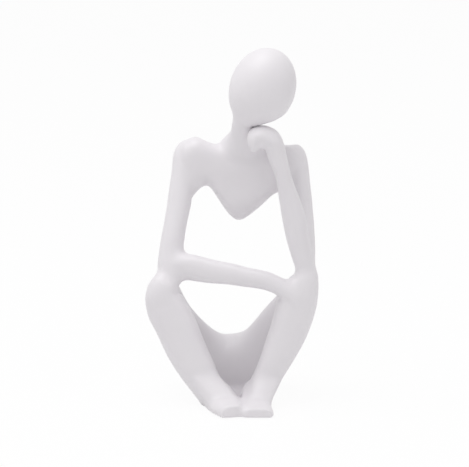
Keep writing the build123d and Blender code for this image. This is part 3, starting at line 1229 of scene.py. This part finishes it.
    def owner_of(self, part: Piece, trees: dict[Casting, BVHTree]) -> Casting:
        """Find the casting that a part of the skin lies on.

        Args:
            part: the part.
            trees: the castings' search trees.

        Returns:
            The casting nearest to most of the part's points.
        """
        places = points_of(part)
        votes = dict.fromkeys(Casting, 0)
        for place in places[:: max(len(places) // self.voters, 1)]:
            away = {casting: tree.find_nearest(place)[3] for casting, tree in trees.items()}
            votes[min(away, key=away.get)] += 1
        return max(votes, key=votes.get)

    def cut_apart(self, skin: Piece) -> dict[Casting, Piece]:
        """Cut the skin into its castings.

        Args:
            skin: the skin.

        Returns:
            The castings, each closed.
        """
        for slit in self.slits:
            seam = seam_between(slit.first, slit.second)
            radius = seam.spread + slit.spare
            carve(skin, round_blade(seam.middle, seam.normal, radius, THIN))
        trees = self.owners()
        cast: dict[Casting, Piece] = {}
        for part in loose_parts(skin):
            owner = self.owner_of(part, trees)
            if owner in cast:
                remove(part)
            else:
                cast[owner] = part
        # The left arm is still one part and counts as one of its castings, and so are the legs.
        arm = cast.pop(Casting.LEFT_FOREARM, None) or cast.pop(Casting.LEFT_UPPER_ARM)
        crook = seam_between(Casting.LEFT_UPPER_ARM, Casting.LEFT_FOREARM)
        cast[Casting.LEFT_UPPER_ARM], cast[Casting.LEFT_FOREARM] = halves(arm, crook)
        self.shift_fist(cast[Casting.LEFT_FOREARM], self.fist_back)
        legs = (
            cast.pop(Casting.SEAT, None)
            or cast.pop(Casting.RIGHT_LEG, None)
            or cast.pop(Casting.LEFT_LEG)
        )
        knees = seam_between(Casting.SEAT, Casting.RIGHT_LEG)
        cast[Casting.SEAT], shins = halves(legs, knees)
        feet = seam_between(Casting.RIGHT_LEG, Casting.LEFT_LEG)
        cast[Casting.RIGHT_LEG], cast[Casting.LEFT_LEG] = halves(shins, feet)
        return cast


@dataclass
class Pads:
    """The three die-cut anti-slip pads, under the seat and the soles.

    Attributes:
        thickness: the pads' thickness.
        rim: the rounding of their rims.
        channel: how far in from the rim the pressed channel runs.
        press: how deep the channel is.
        wall: how wide each of the channel's walls is.
        sides: how many sides a round blank has.
        still: how close to the middle line a point stays put when a blank is stretched.
        facing: how squarely a face looks down to belong to the underside.
        crisp: an edge that turns by more than this stays sharp.
        foam: their finish.
    """

    thickness: float = 0.4 * MM
    rim: float = 0.09 * MM
    channel: float = 0.9 * MM
    press: float = 0.06 * MM
    wall: float = 0.27 * MM
    sides: int = 96
    still: float = 0.01 * MM
    facing: float = 0.9
    crisp: float = math.radians(35)
    foam: FoamRubber = FoamRubber()

    def model(self, node: str) -> Piece:
        """Model a pad over its node: a round blank, stretched to a slot or an oval, and pressed.

        Args:
            node: the pad's node.

        Returns:
            The pad.
        """
        places = points_of(frame["nodes"][node])[:, :2]
        middle = (places.min(axis=0) + places.max(axis=0)) / 2
        spread = places - middle
        _, _, turns = np.linalg.svd(np.unique(spread.round(6), axis=0), full_matrices=False)
        along = turns[0]
        long_half = float(np.abs(spread @ along).max())
        wide_half = float(np.abs(spread @ turns[1]).max())
        deselect_all()
        bpy.ops.mesh.primitive_cylinder_add(
            vertices=self.sides,
            radius=wide_half,
            depth=self.thickness,
            location=(0, 0, self.thickness / 2),
        )
        pad = settled(node + "_foam")
        with edit_mode(pad):
            if node == "seat_pad":
                bpy.ops.transform.resize(value=(1, long_half / wide_half, 1))
            else:
                self.stretch(pad, long_half - wide_half)
            self.press_channel(pad)
            bpy.ops.mesh.select_all(action="SELECT")
            bpy.ops.mesh.normals_make_consistent(inside=False)
        limit = {"limit_method": "ANGLE", "angle_limit": RIM_ANGLE}
        apply_modifier(pad, "BEVEL", width=self.rim, segments=3, **limit)
        pad.rotation_euler.z = math.atan2(along[1], along[0]) - math.pi / 2
        pad.location = (middle[0], middle[1], 0)
        shade(pad, self.crisp)
        return settled(pad.name)

    def stretch(self, pad: Piece, reach: float) -> None:
        """Pull the two halves of the round blank apart along Y.

        Args:
            pad: the blank, in edit mode.
            reach: how far each half moves.
        """
        for side in (-1, 1):
            select_where(pad, "VERT", lambda point: point.co.y * side > self.still)
            bpy.ops.transform.translate(value=(0, side * reach, 0))

    def press_channel(self, pad: Piece) -> None:
        """Press a shallow channel into the underside, inside the rim.

        Args:
            pad: the blank, in edit mode.
        """
        select_where(pad, "FACE", lambda face: face.normal.z < -self.facing)
        bpy.ops.mesh.inset(thickness=self.channel)
        for depth in (-self.press, self.press):
            bpy.ops.mesh.inset(thickness=self.wall, depth=depth)

    def build(self) -> list[Piece]:
        """Model the three pads and dress them.

        Returns:
            The pads.
        """
        material = self.foam.make()
        pads = []
        for node in ("seat_pad", "right_sole_pad", "left_sole_pad"):
            pad = self.model(node)
            coat(pad, material)
            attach(pad, BODY)
            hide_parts(node)
            pads.append(pad)
        return pads


@dataclass
class Pins:
    """The ten glue-up pins, which stay as they are packed.

    Attributes:
        steel: their finish.
    """

    steel: DrawnSteel = DrawnSteel()

    def dress(self) -> list[Piece]:
        """Give each pin its finish.

        Returns:
            The pins.
        """
        material = self.steel.make()
        pins = [node for name, node in frame["nodes"].items() if name.endswith("_pin")]
        for pin in pins:
            coat(pin, material)
        return pins


@dataclass(frozen=True)
class Lamp:
    """A square soft lamp that faces the figure.

    Attributes:
        name: its name.
        place: where it hangs, in metres.
        power: its power, in watts.
        size: the length of its sides, in metres.
    """

    name: str
    place: Place
    power: float
    size: float


@dataclass
class Studio:
    """A plain white table under a wide soft lamp, seen from the front and a little above.

    Attributes:
        aim: what the camera looks at.
        distance: how far off it stands.
        rise: how far above the level it stands, in degrees.
        pixels_per_metre: how large the figure stands in the picture, at the aim.
        picture_width: the picture's width in pixels.
        sight: how far the camera sees.
        table: the length of the table's sides.
        lamps: the lamps.
        sky: the light from all around.
        sky_colour: its colour.
    """

    aim: Vector = Vector((0.9 * MM, 0, 61.3 * MM))
    distance: float = 1.0
    rise: float = 13.0
    pixels_per_metre: float = 2800.0
    picture_width: int = 469
    sight: float = 20.0
    table: float = 6.0
    lamps: tuple[Lamp, ...] = (
        Lamp("overhead", (-0.22, -0.12, 0.85), 3.9, 0.7),
        Lamp("side", (0.9, -0.5, 0.5), 0.9, 0.8),
    )
    sky: float = 0.57
    sky_colour: Colour = (1.0, 0.99, 1.0)

    def lay_floor(self) -> None:
        """Lay the table."""
        deselect_all()
        bpy.ops.mesh.primitive_plane_add(size=self.table)
        floor = settled("floor")
        floor.data.materials.append(PaleFloor().make())

    def hang(self, lamp: Lamp) -> None:
        """Hang a lamp and turn it to the figure.

        Args:
            lamp: the lamp.
        """
        light = bpy.data.lights.new(lamp.name, "AREA")
        light.energy = lamp.power
        light.size = lamp.size
        holder = bpy.data.objects.new(lamp.name, light)
        bpy.context.scene.collection.objects.link(holder)
        holder.location = lamp.place
        towards = self.aim - Vector(lamp.place)
        holder.rotation_euler = towards.to_track_quat("-Z", "Y").to_euler()

    def light_sky(self) -> None:
        """Light the room evenly, and show it white to the camera and in gloss."""
        world = bpy.data.worlds.new("room")
        bpy.context.scene.world = world
        world.use_nodes = True
        room = NodeTree(world.node_tree)
        glow = {"Color": self.sky_colour, "Strength": self.sky}
        light = room.node("ShaderNodeBackground", {}, glow)
        plain = {"Color": (1.0, 1.0, 1.0), "Strength": 1.0}
        white = room.node("ShaderNodeBackground", {}, plain)
        shares = {0: room.shows_background(), 1: light, 2: white}
        mixed = room.node("ShaderNodeMixShader", {}, shares)
        room.feed(room.tree.nodes["World Output"].inputs["Surface"], mixed)

    def stand_camera(self) -> None:
        """Stand the camera at the photograph's angle."""
        camera = bpy.data.cameras.new("camera")
        holder = bpy.data.objects.new("camera", camera)
        bpy.context.scene.collection.objects.link(holder)
        tilt = math.radians(self.rise)
        back = Vector((0, -math.cos(tilt), math.sin(tilt)))
        holder.location = self.aim + back * self.distance
        holder.rotation_euler = (math.pi / 2 - tilt, 0, 0)
        share = self.pixels_per_metre * self.distance / self.picture_width
        camera.lens = share * camera.sensor_width
        camera.clip_end = self.sight
        bpy.context.scene.camera = holder

    def set_up(self) -> None:
        """Set up the table, the lamps and the camera."""
        self.lay_floor()
        for lamp in self.lamps:
            self.hang(lamp)
        self.light_sky()
        self.stand_camera()
        bpy.context.scene.view_settings.view_transform = "Standard"


def main() -> None:
    """Build the figure, its pads and its pins, report them and set up the studio."""
    logging.basicConfig(level=logging.INFO, format="%(message)s")
    for piece in [*Figure().build(), *Pads().build(), *Pins().dress()]:
        report(piece)
    Studio().set_up()


if __name__ == "__main__":
    main()
